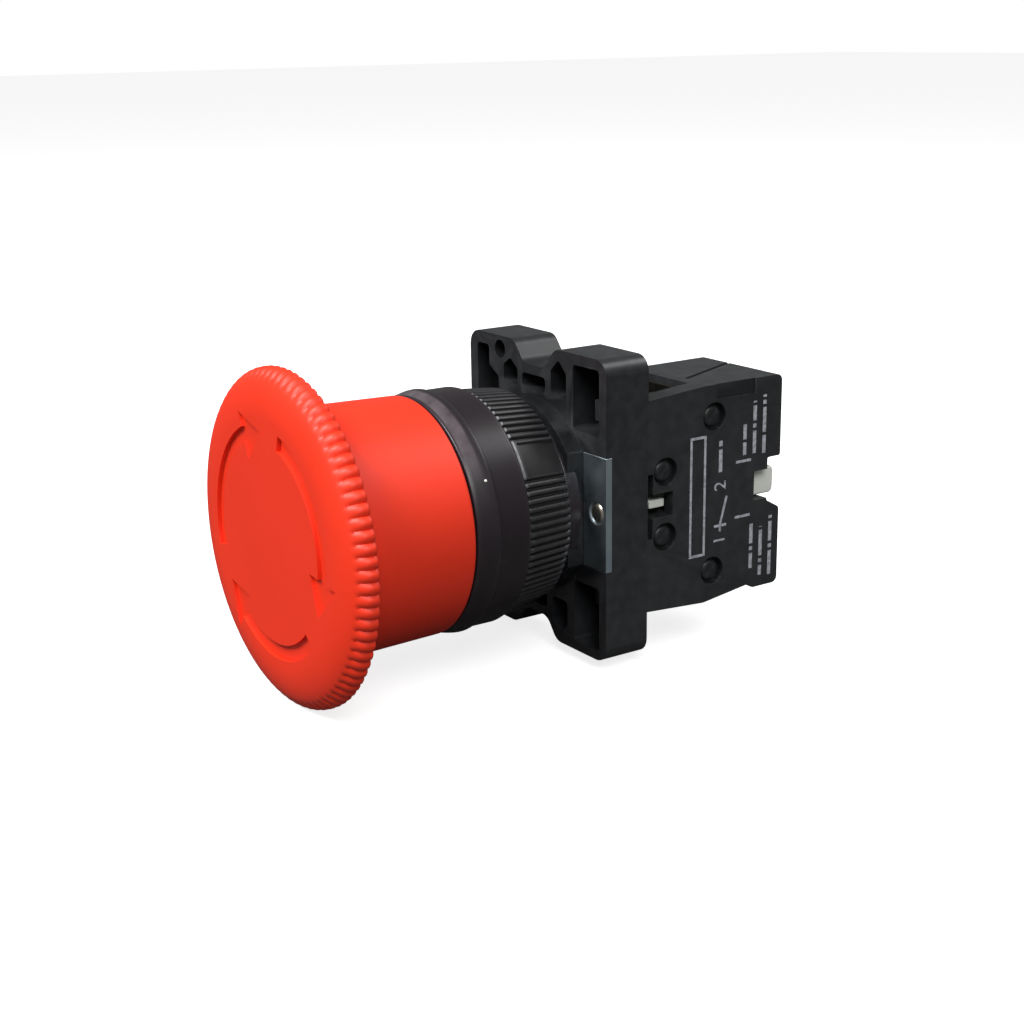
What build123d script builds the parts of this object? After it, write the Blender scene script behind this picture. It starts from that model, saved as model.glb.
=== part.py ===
from build123d import *
import os
from math import cos, radians, sin

os.makedirs("parts", exist_ok=True)

# Millimetres. The button axis is Y: the mushroom faces -Y, the contact block is at +Y,
# +Z is up, and Y = 0 is the back face of the bezel, which sits on the panel.
# The head is drawn pressed and latched, its stored position.

TRAVEL = 4.3  # how far the head comes out when it is released
RUN = 0.1  # radial clearance of a running fit
GAP = 0.3  # gap between parts that pass each other
FIT = 0.05  # gap between parts that are pressed together

# head
HEAD_R = 20.0
FACE_Y = -26.4
RIM_BACK_Y = -23.0
SKIRT_FRONT_R = 14.9
SKIRT_BACK_R = 14.5
SKIRT_BACK_Y = -7.5
SKIRT_BORE_R = 12.9
HEAD_WALL = 2.4
FLUTES = 86
FLUTE_R = 0.55
FLUTE_FRONT_Y = -25.3
ARROW_R = 12.85
ARROW_WIDTH = 1.9
ARROW_HEAD_WIDTH = 5.8
ARROW_HEAD_LENGTH = 4.4
ARROW_DEPTH = 0.3
ARROW_SPAN = 80.0
ARROW_HEAD_ANGLES = (-6.0, 114.0, 234.0)

# hub, stem and push rod
HUB_FRONT_Y = FACE_Y + HEAD_WALL
HUB_R = 12.6
HUB_THICK = 1.8
STEM_R = 4.5
STEM_BACK_Y = 6.0
BOSS_R = 6.5
BOSS_BACK_Y = -16.5
CLIP_POCKET_R = 5.0
CLIP_POCKET_Y = -17.5
ROD_R = 3.0
ROD_FRONT_Y = -19.6
CLIP_Y = -18.4
CLIP_THICK = 0.7
DISC_R = 8.8
DISC_FRONT_Y = 13.5
DISC_BACK_Y = 15.3

# operator body
COLLAR_R = 12.3
COLLAR_FRONT_Y = -13.0
COLLAR_BORE_R = 9.6
FLANGE_R = 12.8
FLANGE_FRONT_Y = -5.5
NECK_R = 11.0
NECK_BORE_R = 9.4
NECK_STEP_Y = 9.6
NECK_END_R = 9.95
NECK_BACK_Y = 12.4
WEB_FRONT_Y = -4.5
WEB_BACK_Y = -1.5
THREAD_PITCH = 1.5
THREAD_DEPTH = 0.45
BEZEL_FRONT_Y = SKIRT_BACK_Y + GAP
BEZEL_R = 14.6
BEZEL_LIP_R = 14.9
GASKET_IN_R = 11.2
GASKET_OUT_R = 13.4
GASKET_THICK = 0.95

# latch
CAM_R = 9.3
CAM_BORE_R = 6.2
CAM_WINDOW_R = 7.9
CAM_WINDOW_ANGLE = 66.0
LATCH_PIN_R = 0.8
LATCH_PIN_Y = 4.6
LATCH_PIN_TIP_R = 7.6
TWIST = 45.0

# ring nut
NUT_FRONT_Y = 0.2
NUT_BACK_Y = 6.5
NUT_FRONT_R = 14.2
NUT_BACK_R = 13.6
NUT_PADS = 4
NUT_PAD_ANGLE = 18.0
NUT_PAD_START = 25.5
NUT_RIBS_PER_QUARTER = 18
NUT_RIB_PITCH = (360 / NUT_PADS - NUT_PAD_ANGLE) / NUT_RIBS_PER_QUARTER

# mounting base
BASE_HALF_W = 14.6
BASE_HALF_H = 18.7
BASE_FRONT_Y = 10.7
BASE_BACK_Y = 17.0
BASE_CORNER_R = 2.0
VALLEY_Z = 16.0
VALLEY_X = (-4.6, -2.4, 2.2, 4.2)
BASE_BOSS_R = 12.2
BASE_BOSS_Y = 8.4
BASE_BORE_R = 9.6
POCKET_DEPTH = 4.6
POCKET_CORNER_R = 0.5
PLATE_X = (10.0, 14.6)
PLATE_HALF_H = 7.1
PLATE_THICK = 0.9
SCREW_X = 12.6
SCREW_R = 1.2
SCREW_HEAD_R = 1.5
SCREW_HEAD_Y = 12.3
SCREW_END_Y = 13.5
EJECTOR_HOLE = (1.15, -7.7, 17.0)

# contact block
BLOCK_X0 = 0.2
COVER_X0 = 12.9
BLOCK_X1 = 14.6
BLOCK_BACK_Y = 38.3
BLOCK_HALF_H = 13.9
BLOCK_LOW_Y = (26.0, 33.5)
BLOCK_LOW_Z = -12.9
BLOCK_LOW_BACK_Z = -13.5
CHAMBER_X0 = 2.1
CHAMBER_Y = (21.4, 33.4)
CHAMBER_HALF_H = 6.6
WELL_X = (3.2, 11.8)
WELL_Y = (18.2, 25.4)
WELL_Z0 = 7.2
NOTCH_Y = 36.2
NOTCH_HALF_H = 3.4
PLUNGER_X = (4.0, 11.0)
PLUNGER_HALF_H = 1.45
TAIL_Y = 38.9
TAIL_FRONT_Y = 34.3
TAIL_X = (8.0, 13.3)
TAIL_HALF_H = 1.75
TAIL_CHAMFER = 0.7
BAR_FRONT_Y = 21.5
RIB_X = (9.2, 10.6)
RIB_HALF_H = 0.75
PIN_X1 = 13.6
PIN_Y = (18.0, 20.3)
PIN_HALF_H = 0.5
NOSE_X1 = 8.0
BRIDGE_X = (6.0, 9.0)
BRIDGE_Y = 27.4
BRIDGE_SLOT_Y = (BRIDGE_Y, 32.2)
WING_Y = (28.6, 29.4)
WING_END_Z = 4.4
BRIDGE_THICK = 0.6
BRIDGE_HALF_L = 6.0
TIP_R = 1.1
TIP_THICK = 0.4
TIP_Z = 4.6
TERMINAL_Y = 21.6
TERMINAL_THICK = 0.65
TERMINAL_END_Z = 11.6
TERMINAL_X = 7.5
TERMINAL_Z = 9.6
TERMINAL_SCREW_R = 1.35
TERMINAL_HEAD_R = 1.85
TERMINAL_HEAD_Y = (27.0, 28.8)
DRIVER_R = 2.4
HEAD_SEAT_R = 2.0
HEAD_SEAT_Y = 29.0
CAGE_X = (3.6, 11.4)
CAGE_Y = (18.6, 25.0)
CAGE_END_Z = 13.2
CAGE_WALL = 0.6
WINDOW_BACK_Y = 20.9
WINDOW_HALF_H = 1.55
SLOT_BACK_Y = 17.8
SLOT_HALF_H = 4.1
TAIL_SLOT_Y = 34.0
TAIL_SLOT_HALF_H = 1.9
RELIEF_Y = (27.6, 34.0)
RELIEF_Z = 12.0
RELIEF_DEPTH = 0.2
PEG_R = 1.35
PEG_RECESS_R = 1.8
PEGS = ((27.3, 9.9), (27.3, -9.9), (19.7, 4.1), (19.7, -4.1))
HOOK_X = (8.8, 12.4)
HOOK_Z = (10.4, 12.2)


def turned(*profile):
    """A solid turned about the Y axis from (radius, y) points."""
    face = make_face(Polyline(*[(r, y, 0) for r, y in profile], close=True))
    return revolve(face, Axis.Y, 360)


def slab(x0, x1, y0, y1, z0, z1):
    middle = Pos((x0 + x1) / 2, (y0 + y1) / 2, (z0 + z1) / 2)
    return middle * Box(abs(x1 - x0), abs(y1 - y0), abs(z1 - z0))


def rod_y(r, y0, y1, x=0.0, z=0.0):
    return Pos(x, (y0 + y1) / 2, z) * Rot(90, 0, 0) * Cylinder(r, abs(y1 - y0))


def rod_x(r, x0, x1, y=0.0, z=0.0):
    return Pos((x0 + x1) / 2, y, z) * Rot(0, 90, 0) * Cylinder(r, abs(x1 - x0))


def plate_y(points, y0, y1, radius=0.0):
    """A plate with an (x, z) outline, from y0 to y1, with its outline's corners rounded."""
    corners = [(x, y0, z) for x, z in points]
    if radius:
        face = make_face(FilletPolyline(*corners, radius=radius, close=True))
    else:
        face = make_face(Polyline(*corners, close=True))
    return extrude(face, y1 - y0, dir=(0, 1, 0))


def coil_y(mean_r, wire_r, y0, y1, turns, x=0.0, z=0.0):
    """A helical spring along Y, inside y0 to y1."""
    height = y1 - y0 - 2 * wire_r
    path = Helix(pitch=height / turns, height=height, radius=mean_r)
    start = path @ 0
    profile = Plane(origin=start, z_dir=path % 0) * Circle(wire_r)
    spring = sweep(profile, path=path)
    return Pos(x, y0 + wire_r, z) * Rot(-90, 0, 0) * spring


def sector_y(r0, r1, y0, y1, start, span):
    """A piece of a ring about Y. Angles run from +X towards +Z."""
    angles = [start, start + span / 2, start + span]
    inner = [(r0 * cos(radians(a)), y0, r0 * sin(radians(a))) for a in angles]
    outer = [(r1 * cos(radians(a)), y0, r1 * sin(radians(a))) for a in angles]
    outline = [
        ThreePointArc(*inner),
        Line(inner[2], outer[2]),
        ThreePointArc(*outer),
        Line(outer[0], inner[0]),
    ]
    return extrude(make_face(outline), y1 - y0, dir=(0, 1, 0))


def save(shape, node):
    export_step(shape, f"parts/{node}.step")


# ---------------------------------------------------------------- head

def arrow(head_angle):
    """A curved release arrow that points clockwise as seen from the front."""
    y0 = FACE_Y - 0.5
    y1 = FACE_Y + ARROW_DEPTH
    half = ARROW_WIDTH / 2
    tail = sector_y(ARROW_R - half, ARROW_R + half, y0, y1, head_angle, ARROW_SPAN)
    a = radians(head_angle)
    wing = ARROW_HEAD_WIDTH / 2
    length = ARROW_HEAD_LENGTH
    tip = (ARROW_R * cos(a) + length * sin(a), ARROW_R * sin(a) - length * cos(a))
    points = [(r * cos(a), r * sin(a)) for r in (ARROW_R - wing, ARROW_R + wing)]
    points.append(tip)
    return tail + plate_y(points, y0, y1)


def head_cap():
    """The red mushroom with its skirt, hollow behind the face."""
    cap = turned(
        (0, FACE_Y),
        (17.2, FACE_Y),
        (18.6, FACE_Y + 0.25),
        (19.5, FACE_Y + 0.7),
        (HEAD_R, FACE_Y + 1.4),
        (HEAD_R, RIM_BACK_Y - 0.3),
        (HEAD_R - 0.3, RIM_BACK_Y),
        (SKIRT_FRONT_R, RIM_BACK_Y),
        (SKIRT_BACK_R, SKIRT_BACK_Y),
        (SKIRT_BORE_R, SKIRT_BACK_Y),
        (SKIRT_BORE_R, HUB_FRONT_Y),
        (0, HUB_FRONT_Y),
    )
    groove = rod_y(FLUTE_R, FLUTE_FRONT_Y, RIM_BACK_Y + 0.5, x=HEAD_R + 0.25)
    cap -= [Rot(0, i * 360 / FLUTES, 0) * groove for i in range(FLUTES)]
    for angle in ARROW_HEAD_ANGLES:
        cap -= arrow(angle)
    return cap


def cap_hub():
    """The carrier inside the cap, with the hollow stem that turns with it."""
    back = HUB_FRONT_Y + HUB_THICK
    return turned(
        (CLIP_POCKET_R, HUB_FRONT_Y),
        (HUB_R, HUB_FRONT_Y),
        (HUB_R, back),
        (BOSS_R, back),
        (BOSS_R, BOSS_BACK_Y),
        (STEM_R, BOSS_BACK_Y),
        (STEM_R, STEM_BACK_Y),
        (ROD_R + RUN, STEM_BACK_Y),
        (ROD_R + RUN, CLIP_POCKET_Y),
        (CLIP_POCKET_R, CLIP_POCKET_Y),
    ) - latch_pins()


def latch_pins():
    """Two steel pins pressed across the stem, whose tips run in the cam sleeve."""
    pin = rod_x(LATCH_PIN_R, ROD_R + RUN + 0.2, LATCH_PIN_TIP_R, y=LATCH_PIN_Y)
    return pin + Rot(0, 180, 0) * pin


def push_rod():
    """The rod that slides with the head and carries the thrust to the disc."""
    groove = turned(
        (ROD_R - 0.5, CLIP_Y),
        (ROD_R + 1, CLIP_Y),
        (ROD_R + 1, CLIP_Y + CLIP_THICK),
        (ROD_R - 0.5, CLIP_Y + CLIP_THICK),
    )
    rod = turned(
        (0, ROD_FRONT_Y),
        (ROD_R - 0.4, ROD_FRONT_Y),
        (ROD_R, ROD_FRONT_Y + 0.4),
        (ROD_R, DISC_BACK_Y - 0.6),
        (0, DISC_BACK_Y - 0.6),
    )
    return rod - groove


def rod_clip():
    """The open retaining ring in the rod's groove."""
    ring = turned(
        (ROD_R - 0.5, CLIP_Y),
        (ROD_R + 1.3, CLIP_Y),
        (ROD_R + 1.3, CLIP_Y + CLIP_THICK),
        (ROD_R - 0.5, CLIP_Y + CLIP_THICK),
    )
    return ring - slab(0, 6, CLIP_Y - 1, CLIP_Y + 2, -1.2, 1.2)


def push_disc():
    """The white disc on the rod's end that presses every contact block's nose."""
    return turned(
        (ROD_R, DISC_FRONT_Y - 1.6),
        (ROD_R + 1.5, DISC_FRONT_Y - 1.6),
        (ROD_R + 1.5, DISC_FRONT_Y),
        (DISC_R, DISC_FRONT_Y),
        (DISC_R, DISC_BACK_Y - 0.3),
        (DISC_R - 0.3, DISC_BACK_Y),
        (0, DISC_BACK_Y),
        (0, DISC_BACK_Y - 0.6),
        (ROD_R, DISC_BACK_Y - 0.6),
    )


# ---------------------------------------------------------------- operator body

def neck_profile():
    """The threaded neck's outside as annular ridges, and the step down to its plain end."""
    points = []
    y = 0.6
    while y + THREAD_PITCH < BASE_BOSS_Y:
        points.append((NECK_R, y))
        points.append((NECK_R - THREAD_DEPTH, y + THREAD_PITCH / 2))
        y += THREAD_PITCH
    points.append((NECK_R, y))
    points.append((NECK_R, NECK_STEP_Y))
    points.append((NECK_END_R, NECK_STEP_Y))
    return points


def operator_body():
    """The body that passes through the panel, with the guide web for the stem."""
    return turned(
        (COLLAR_BORE_R, COLLAR_FRONT_Y),
        (COLLAR_R, COLLAR_FRONT_Y),
        (COLLAR_R, FLANGE_FRONT_Y),
        (FLANGE_R, FLANGE_FRONT_Y),
        (FLANGE_R, -GASKET_THICK),
        (NECK_R, -GASKET_THICK),
        *neck_profile(),
        (NECK_END_R, NECK_BACK_Y),
        (NECK_BORE_R, NECK_BACK_Y),
        (NECK_BORE_R, WEB_BACK_Y),
        (STEM_R + RUN, WEB_BACK_Y),
        (STEM_R + RUN, WEB_FRONT_Y),
        (COLLAR_BORE_R, WEB_FRONT_Y),
    )


def bezel_ring():
    """The round bezel against the panel's front, with its raised lip."""
    return turned(
        (FLANGE_R + FIT, BEZEL_FRONT_Y),
        (14.35, BEZEL_FRONT_Y),
        (14.55, BEZEL_FRONT_Y + 0.4),
        (BEZEL_LIP_R, -4.9),
        (BEZEL_LIP_R, -4.4),
        (BEZEL_R, -4.2),
        (BEZEL_R, -0.3),
        (BEZEL_R - 0.3, 0),
        (GASKET_OUT_R, 0),
        (GASKET_OUT_R, -GASKET_THICK),
        (FLANGE_R + FIT, -GASKET_THICK),
    )


def panel_gasket():
    """The flat rubber ring in the bezel's back face."""
    return turned(
        (GASKET_IN_R, -GASKET_THICK),
        (GASKET_OUT_R, -GASKET_THICK),
        (GASKET_OUT_R, 0),
        (GASKET_IN_R, 0),
    )


def cam_sleeve():
    """The fixed sleeve whose two windows hold the latch pins."""
    sleeve = turned(
        (CAM_BORE_R, WEB_BACK_Y),
        (CAM_R, WEB_BACK_Y),
        (CAM_R, STEM_BACK_Y),
        (CAM_BORE_R, STEM_BACK_Y),
    )
    # a pin turns clockwise from the front, which is from +X towards -Z
    start = -TWIST - (CAM_WINDOW_ANGLE - TWIST) / 2
    window = sector_y(CAM_BORE_R - 1, CAM_WINDOW_R, -0.9, 5.6, start, CAM_WINDOW_ANGLE)
    return sleeve - window - Rot(0, 180, 0) * window


def return_spring():
    return coil_y(8.0, 0.5, WEB_FRONT_Y - 17.0, WEB_FRONT_Y, 7)


def torsion_spring():
    return coil_y(5.2, 0.35, 7.0, DISC_FRONT_Y - 1.7, 7)


def ring_nut():
    """The ribbed nut that clamps the panel from behind, with smooth finger pads."""
    nut = turned(
        (NECK_R + FIT, NUT_FRONT_Y),
        (NUT_FRONT_R - 0.2, NUT_FRONT_Y),
        (NUT_FRONT_R, NUT_FRONT_Y + 0.3),
        (NUT_BACK_R, NUT_BACK_Y - 0.3),
        (NUT_BACK_R - 0.3, NUT_BACK_Y),
        (NECK_R + FIT, NUT_BACK_Y),
    )
    groove = slab(13.45, 15, NUT_FRONT_Y + 0.5, NUT_BACK_Y + 1, -0.22, 0.22)
    for pad in range(NUT_PADS):
        start = NUT_PAD_START + pad * 360 / NUT_PADS
        nut -= sector_y(13.5, 15, 1.2, NUT_BACK_Y + 1, start, NUT_PAD_ANGLE)
        first = start + NUT_PAD_ANGLE + NUT_RIB_PITCH / 2
        for i in range(NUT_RIBS_PER_QUARTER):
            nut -= Rot(0, -first - i * NUT_RIB_PITCH, 0) * groove
    return nut


# ---------------------------------------------------------------- mounting base

def base_outline():
    w, h = BASE_HALF_W, BASE_HALF_H
    a, b, c, d = VALLEY_X
    top = [(-w, h), (a, h), (b, VALLEY_Z), (c, VALLEY_Z), (d, h), (w, h)]
    return top + [(x, -z) for x, z in reversed(top)]


def base_pockets():
    """The moulding pockets of the base's upper half, as (x, z) outlines."""
    return [
        [(-12.9, 17.2), (-10.2, 17.2), (-10.2, 14.6), (-8.1, 13.4), (-8.1, 9.6), (-12.9, 9.6)],
        [(-6.9, 13.0), (-6.9, 15.2), (-5.4, 16.2), (-3.8, 15.0), (-3.8, 13.0)],
        [(-2.8, 12.9), (-2.8, 14.8), (2.2, 14.8), (2.2, 12.9)],
        [(3.4, 12.9), (3.4, 15.9), (5.0, 17.5), (6.6, 15.9), (6.6, 12.9)],
        [(8.0, 9.5), (8.0, 17.4), (13.2, 17.4), (13.2, 9.5)],
    ]


def mounting_base():
    """The moulded base that grips the neck and carries the contact blocks."""
    base = plate_y(base_outline(), BASE_FRONT_Y, BASE_BACK_Y, BASE_CORNER_R)
    base += rod_y(BASE_BOSS_R, BASE_BOSS_Y, BASE_FRONT_Y + 1)
    base -= rod_y(NECK_R + FIT, BASE_BOSS_Y - 1, NECK_STEP_Y + 0.1)
    base -= rod_y(NECK_END_R + FIT, BASE_BOSS_Y, NECK_BACK_Y + 0.1)
    base -= rod_y(BASE_BORE_R, BASE_BOSS_Y, BASE_BACK_Y + 1)
    for outline in base_pockets():
        for side in (1, -1):
            points = [(x, side * z) for x, z in outline]
            base -= plate_y(
                points, BASE_FRONT_Y - 0.1, BASE_FRONT_Y + POCKET_DEPTH, POCKET_CORNER_R
            )
    plate_z = PLATE_HALF_H + FIT
    for side in (1, -1):
        hole_r, hole_x, hole_z = EJECTOR_HOLE
        pocket_y = (BASE_FRONT_Y - 1, BASE_FRONT_Y + POCKET_DEPTH)
        base -= rod_y(hole_r, *pocket_y, x=hole_x, z=side * hole_z)
        x0, x1 = sorted((side * (PLATE_X[0] - FIT), side * (PLATE_X[1] + 1)))
        base -= slab(
            x0, x1, BASE_BOSS_Y - 1, BASE_FRONT_Y + PLATE_THICK, -plate_z, plate_z
        )
        base -= rod_y(SCREW_R + 0.15, BASE_FRONT_Y, BASE_BACK_Y + 1, x=side * SCREW_X)
        base -= rod_y(SCREW_HEAD_R + 0.15, SCREW_HEAD_Y - 0.2, BASE_BACK_Y + 1, x=side * SCREW_X)
        rib_x0, rib_x1 = sorted((side * (BASE_BORE_R - 1), side * (RIB_X[1] + 0.15)))
        rib_z = RIB_HALF_H + 0.2
        base -= slab(rib_x0, rib_x1, NECK_BACK_Y + 0.1, BASE_BACK_Y + 1, -rib_z, rib_z)
        pin_x0, pin_x1 = sorted((side * RIB_X[1], side * (PIN_X1 + 0.15)))
        pin_z = PIN_HALF_H + 0.15
        base -= slab(pin_x0, pin_x1, SCREW_END_Y + 0.1, BASE_BACK_Y + 1, -pin_z, pin_z)
        for up in (1, -1):
            x0, x1 = sorted((side * (HOOK_X[0] - 0.1), side * (HOOK_X[1] + 0.1)))
            z0, z1 = sorted((up * (HOOK_Z[0] - 0.1), up * (HOOK_Z[1] + 0.9)))
            base -= slab(x0, x1, BASE_FRONT_Y + POCKET_DEPTH - 1, BASE_BACK_Y + 1, z0, z1)
    return base


def clamp_plate(side):
    """One zinc-plated steel plate let into the base's front."""
    x0, x1 = sorted((side * PLATE_X[0], side * PLATE_X[1]))
    plate = slab(x0, x1, BASE_FRONT_Y, BASE_FRONT_Y + PLATE_THICK, -PLATE_HALF_H, PLATE_HALF_H)
    return plate - rod_y(SCREW_R, BASE_FRONT_Y - 1, BASE_FRONT_Y + 2, x=side * SCREW_X)


def clamp_screws():
    """The two screws that press the base against the panel's back."""
    screw = rod_y(SCREW_R, BASE_FRONT_Y - 0.1, SCREW_HEAD_Y, x=SCREW_X)
    screw += rod_y(SCREW_HEAD_R, SCREW_HEAD_Y, SCREW_END_Y, x=SCREW_X)
    screw -= slab(SCREW_X - 3, SCREW_X + 3, SCREW_END_Y - 0.6, SCREW_END_Y + 1, -0.3, 0.3)
    return screw + mirror(screw, Plane.YZ)


# ---------------------------------------------------------------- contact block

def block_body(x0, x1):
    """The block's outside between two x planes, with the hollow under its back half."""
    h = BLOCK_HALF_H
    points = [
        (BASE_BACK_Y, h - 0.7),
        (BASE_BACK_Y + 6, h - 0.2),
        (BASE_BACK_Y + 9, h),
        (BLOCK_BACK_Y, h),
        (BLOCK_BACK_Y, NOTCH_HALF_H),
        (NOTCH_Y, NOTCH_HALF_H),
        (NOTCH_Y, -NOTCH_HALF_H + 1.2),
        (BLOCK_BACK_Y, -NOTCH_HALF_H),
        (BLOCK_BACK_Y, BLOCK_LOW_BACK_Z),
        (BLOCK_LOW_Y[1] + 0.6, BLOCK_LOW_BACK_Z),
        (BLOCK_LOW_Y[1], BLOCK_LOW_Z),
        (BLOCK_LOW_Y[0], -h),
        (BASE_BACK_Y, -h + 0.6),
    ]
    face = make_face(Polyline(*[(x0, y, z) for y, z in points], close=True))
    return extrude(face, x1 - x0, dir=(1, 0, 0))


def block_housing():
    """The block's main shell, open on its +X side."""
    shell = block_body(BLOCK_X0, COVER_X0)
    open_x = COVER_X0 + 1
    shell -= slab(CHAMBER_X0, open_x, *CHAMBER_Y, -CHAMBER_HALF_H, CHAMBER_HALF_H)
    slide_x = (PLUNGER_X[0] - 0.1, open_x)
    slide_z = PLUNGER_HALF_H + 0.1
    shell -= slab(*slide_x, BASE_BACK_Y - 1, BLOCK_BACK_Y + 1, -slide_z, slide_z)
    tail_y = TAIL_FRONT_Y - TRAVEL - 0.2
    tail_z = TAIL_SLOT_HALF_H
    shell -= slab(TAIL_X[0] - 0.1, open_x, tail_y, BLOCK_BACK_Y + 1, -tail_z, tail_z)
    for up in (1, -1):
        z0, z1 = sorted((up * WELL_Z0, up * (BLOCK_HALF_H + 1)))
        shell -= slab(*WELL_X, *WELL_Y, z0, z1)
        s0, s1 = sorted((up * (CHAMBER_HALF_H - 1), up * (WELL_Z0 + 1)))
        strip_y = (TERMINAL_Y - FIT, TERMINAL_Y + TERMINAL_THICK + FIT)
        shell -= slab(BRIDGE_X[0] - 0.1, open_x, *strip_y, s0, s1)
        z = up * TERMINAL_Z
        shell -= rod_y(HEAD_SEAT_R, WELL_Y[1] - 1, HEAD_SEAT_Y, x=TERMINAL_X, z=z)
        shell -= rod_y(DRIVER_R, HEAD_SEAT_Y, BLOCK_BACK_Y + 1, x=TERMINAL_X, z=z)
        h0, h1 = sorted((up * HOOK_Z[0], up * HOOK_Z[1]))
        shell -= slab(*HOOK_X, BASE_BACK_Y - 1, WELL_Y[0] + 0.5, h0, h1)
    for y, z in PEGS:
        shell -= rod_x(PEG_R, COVER_X0 - 1.9, COVER_X0 + 1, y=y, z=z)
    return shell


def side_cover():
    """The side plate that closes the housing, with the peg recesses and the window."""
    cover = block_body(COVER_X0, BLOCK_X1)
    through = (COVER_X0 - 1, BLOCK_X1 + 1)
    front = BASE_BACK_Y - 1
    cover -= slab(BLOCK_X1 - RELIEF_DEPTH, BLOCK_X1 + 1, *RELIEF_Y, RELIEF_Z, BLOCK_HALF_H + 1)
    cover -= slab(*through, front, WINDOW_BACK_Y, -WINDOW_HALF_H, WINDOW_HALF_H)
    cover -= slab(BLOCK_X1 - 1, BLOCK_X1 + 1, front, SLOT_BACK_Y, -SLOT_HALF_H, SLOT_HALF_H)
    tail_z = (-TAIL_SLOT_HALF_H, TAIL_SLOT_HALF_H)
    cover -= slab(*through, TAIL_SLOT_Y, BLOCK_BACK_Y + 1, *tail_z)
    hidden_y = TAIL_FRONT_Y - TRAVEL - 0.2
    cover -= slab(COVER_X0 - 1, TAIL_X[1] + 0.15, hidden_y, TAIL_SLOT_Y + 1, *tail_z)
    for y, z in PEGS:
        cover -= rod_x(PEG_RECESS_R, BLOCK_X1 - 1.0, BLOCK_X1 + 1, y=y, z=z)
        cover -= rod_x(PEG_R, COVER_X0 - 1, BLOCK_X1, y=y, z=z)
    return cover


def shell_pegs():
    """The four domed pegs that stake the side cover to the housing."""
    dome = 0.5
    pegs = None
    for y, z in PEGS:
        peg = rod_x(PEG_R, COVER_X0 - 1.9, BLOCK_X1 - 0.3, y=y, z=z)
        edge = peg.faces().sort_by(Axis.X)[-1].edges()
        peg = fillet(edge, dome)
        pegs = peg if pegs is None else pegs + peg
    return pegs


def contact_plunger():
    """The white slider: nose, rib with its side pin, bridge bar, wings and chamfered tail."""
    h = PLUNGER_HALF_H
    nose_y = DISC_BACK_Y + FIT
    slider = slab(PLUNGER_X[0], PLUNGER_X[1], BAR_FRONT_Y, TAIL_Y - TAIL_CHAMFER, -h, h)
    slider += slab(PLUNGER_X[0], NOSE_X1, nose_y, BAR_FRONT_Y, -h, h)
    slider += slab(*RIB_X, BASE_BACK_Y + 0.1, BAR_FRONT_Y, -RIB_HALF_H, RIB_HALF_H)
    slider += slab(RIB_X[0], PIN_X1, *PIN_Y, -PIN_HALF_H, PIN_HALF_H)
    slider += slab(BRIDGE_X[1] + 0.3, PLUNGER_X[1], *WING_Y, -WING_END_Z, WING_END_Z)
    slider -= slab(BRIDGE_X[0] - 0.1, BRIDGE_X[1] + 0.1, *BRIDGE_SLOT_Y, -h - 1, h + 1)
    tail = slab(*TAIL_X, TAIL_FRONT_Y, TAIL_Y, -TAIL_HALF_H, TAIL_HALF_H)
    tail = chamfer(tail.faces().sort_by(Axis.Y)[-1].edges(), TAIL_CHAMFER)
    return slider + tail


def contact_bridge():
    """The moving bridge that joins the two fixed contacts when the button is released."""
    half = BRIDGE_HALF_L
    strip = slab(*BRIDGE_X, BRIDGE_Y, BRIDGE_Y + BRIDGE_THICK, -half, half)
    return strip


def contact_tips(y0, y1):
    """A pair of silver tips, one for each fixed contact."""
    tips = [rod_y(TIP_R, y0, y1, x=TERMINAL_X, z=z) for z in (TIP_Z, -TIP_Z)]
    return tips[0] + tips[1]


def bridge_spring():
    return coil_y(1.0, 0.2, BRIDGE_Y + BRIDGE_THICK, 32.2, 6, x=TERMINAL_X)


def plunger_springs():
    """The two return springs behind the plunger's wings."""
    springs = [coil_y(0.95, 0.2, 29.4, CHAMBER_Y[1], 5, x=10.0, z=z) for z in (3.0, -3.0)]
    return springs[0] + springs[1]


def fixed_terminal(up):
    """A brass strip from its contact to the terminal well."""
    z0, z1 = sorted((up * (TIP_Z - TIP_R - 0.1), up * TERMINAL_END_Z))
    return slab(*BRIDGE_X, TERMINAL_Y, TERMINAL_Y + TERMINAL_THICK, z0, z1)


def wire_clamps():
    """The cage clamps round the strips' ends, one in each well."""
    cages = None
    for up in (1, -1):
        z0, z1 = sorted((up * (WELL_Z0 + 0.2), up * CAGE_END_Z))
        cage = slab(*CAGE_X, *CAGE_Y, z0, z1)
        inside_x = (CAGE_X[0] + CAGE_WALL, CAGE_X[1] - CAGE_WALL)
        inside_y = (CAGE_Y[0] + CAGE_WALL, CAGE_Y[1] - CAGE_WALL - 0.2)
        cage -= slab(*inside_x, *inside_y, z0 - 1, z1 + 1)
        cage -= rod_y(TERMINAL_SCREW_R, CAGE_Y[1] - 2, CAGE_Y[1] + 1, x=TERMINAL_X, z=up * TERMINAL_Z)
        cages = cage if cages is None else cages + cage
    return cages


def terminal_screws():
    """The two clamp screws, driven from the back of the block."""
    screws = None
    for up in (1, -1):
        z = up * TERMINAL_Z
        tip = TERMINAL_Y + TERMINAL_THICK + 0.02
        head_y, end_y = TERMINAL_HEAD_Y
        screw = rod_y(TERMINAL_SCREW_R, tip, head_y, x=TERMINAL_X, z=z)
        screw += rod_y(TERMINAL_HEAD_R, head_y, end_y, x=TERMINAL_X, z=z)
        slot_y = (end_y - 0.8, end_y + 1)
        screw -= slab(TERMINAL_X - 3, TERMINAL_X + 3, *slot_y, z - 0.35, z + 0.35)
        screw -= slab(TERMINAL_X - 0.35, TERMINAL_X + 0.35, *slot_y, z - 3, z + 3)
        screws = screw if screws is None else screws + screw
    return screws


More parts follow.
